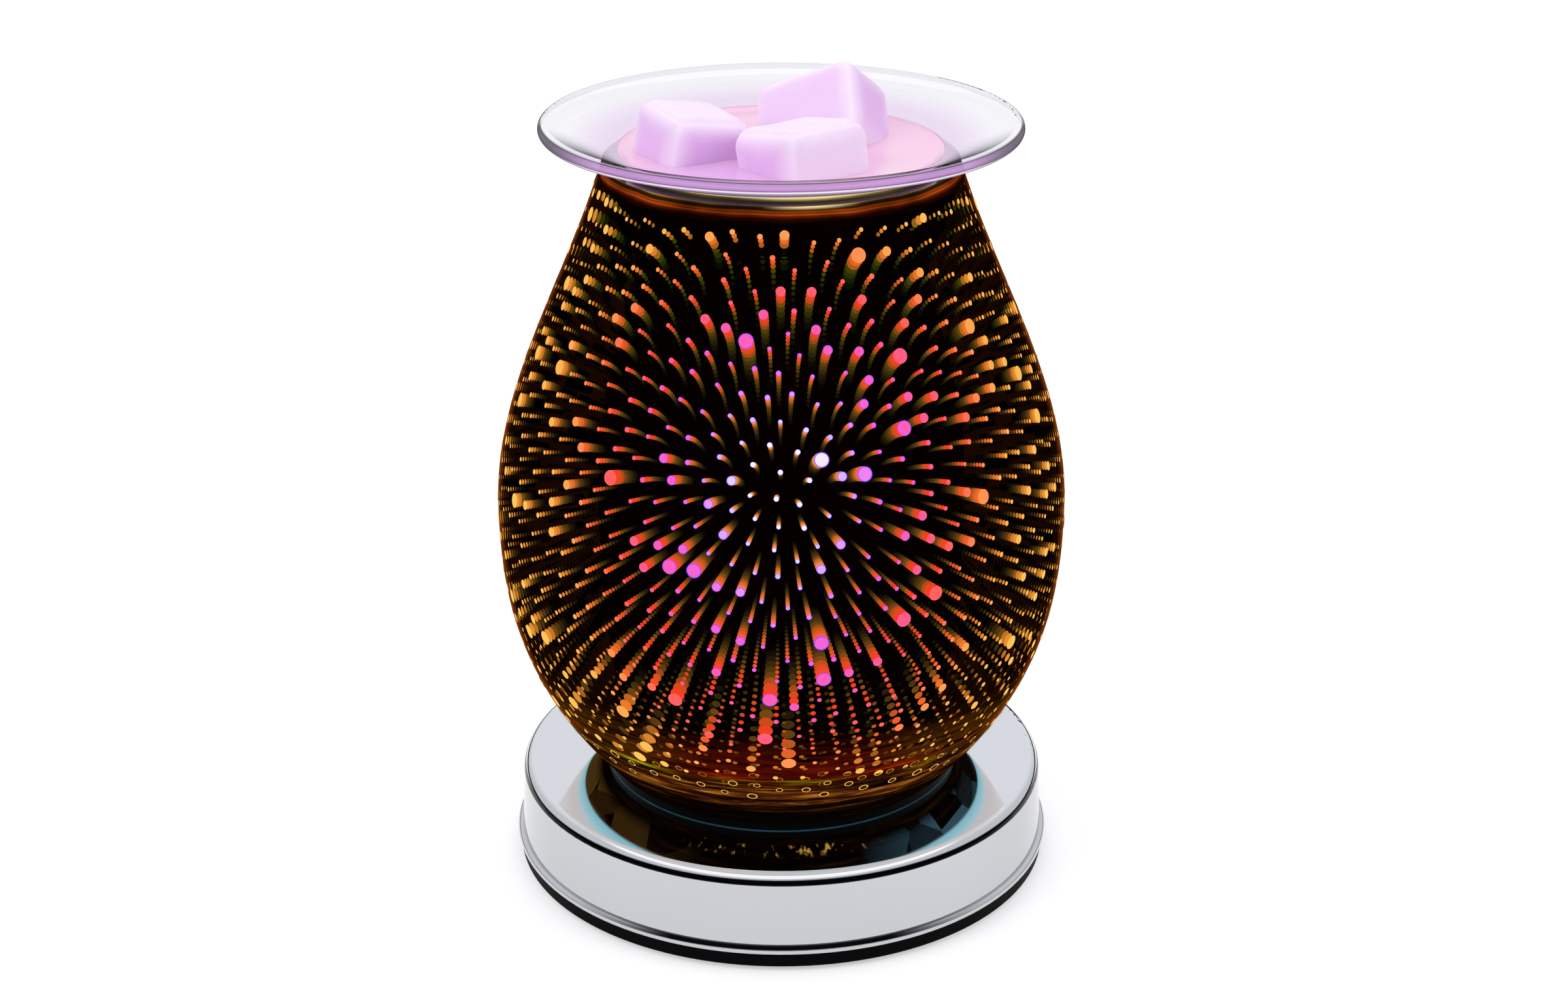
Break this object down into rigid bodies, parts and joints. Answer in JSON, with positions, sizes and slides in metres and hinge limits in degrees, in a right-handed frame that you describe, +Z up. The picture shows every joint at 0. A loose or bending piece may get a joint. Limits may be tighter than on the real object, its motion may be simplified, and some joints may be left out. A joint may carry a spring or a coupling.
{
  "type": "wax melt warmer",
  "caption": "Table wax melt warmer: plated round touch base, egg-shaped mirrored glass shade over a capsule lamp, and a loose glass dish with wax cubes.",
  "frame": {"origin": "bottom centre, on the surface that the feet stand on", "axes": "+Z up along the axis of the shade and dish; -Y is the front, +Y the back where the cord leaves"},
  "size_m": [0.1192, 0.1192, 0.1715],
  "materials": {
    "chrome_steel": "polished plating",
    "black_plastic": "satin",
    "black_rubber": "matte",
    "plain_steel": "zinc plated",
    "brass_parts": "plain",
    "lead_sleeve": "glass-fibre sleeved",
    "clear_silicone": "translucent",
    "mirror_glass": "mirror coated inside, with clear dots",
    "white_ceramic": "unglazed",
    "board_laminate": "solder mask",
    "capacitor_case": "moulded",
    "ferrite": "lacquered",
    "resistor_body": "lacquered",
    "terminal_plastic": "moulded",
    "lamp_glass": "clear",
    "tungsten": "glowing when lit",
    "clear_glass": "pressed, fire polished",
    "melted_wax": "wet and glossy",
    "scented_wax": "soft sheen"
  },
  "bodies": {
    "base": {"base_shell": "chrome_steel", "base_plate": "black_plastic", "rubber_feet": "black_rubber", "base_plate_screws": "plain_steel", "shell_pillars": "plain_steel", "cord_grommet": "black_rubber", "stem_tube": "plain_steel", "stem_nut": "plain_steel", "lock_washer": "plain_steel", "touch_terminal": "brass_parts", "touch_lead": "lead_sleeve", "shade_gasket": "black_rubber", "floor_gasket_lower": "clear_silicone", "floor_gasket_upper": "clear_silicone", "clamp_plate": "plain_steel", "clamp_nut": "plain_steel", "glass_shade": "mirror_glass", "bracket_nuts": "plain_steel", "holder_bracket": "plain_steel", "lamp_holder": "white_ceramic", "holder_screws": "plain_steel", "holder_contacts": "brass_parts", "lamp_lead_live": "lead_sleeve", "lamp_lead_neutral": "lead_sleeve", "circuit_board": "board_laminate", "board_screws": "plain_steel", "touch_chip": "black_plastic", "dimmer_triac": "black_plastic", "suppressor_capacitor": "capacitor_case", "suppressor_choke": "ferrite", "board_resistors": "resistor_body", "terminal_block": "terminal_plastic", "terminal_screws": "brass_parts"},
    "lamp": {"bulb_envelope": "lamp_glass", "bulb_filament": "tungsten", "bulb_pins": "plain_steel"},
    "dish": {"glass_dish": "clear_glass", "melted_wax": "melted_wax"},
    "left_cube": {"wax_left": "scented_wax"},
    "front_cube": {"wax_front": "scented_wax"},
    "back_cube": {"wax_back": "scented_wax"}
  },
  "joints": [
    {"name": "dish_lift", "type": "slide", "parent": "base", "child": "dish", "axis": [0, 0, 1], "range_m": [0, 0.06]},
    {"name": "left_cube_lift", "type": "slide", "parent": "dish", "child": "left_cube", "axis": [0, 0, 1], "range_m": [0, 0.03]},
    {"name": "front_cube_lift", "type": "slide", "parent": "dish", "child": "front_cube", "axis": [0, 0, 1], "range_m": [0, 0.03]},
    {"name": "back_cube_lift", "type": "slide", "parent": "dish", "child": "back_cube", "axis": [0, 0, 1], "range_m": [0, 0.03]},
    {"name": "lamp_pull", "type": "slide", "parent": "base", "child": "lamp", "axis": [0, 0, 1], "range_m": [0, 0.03]}
  ]
}
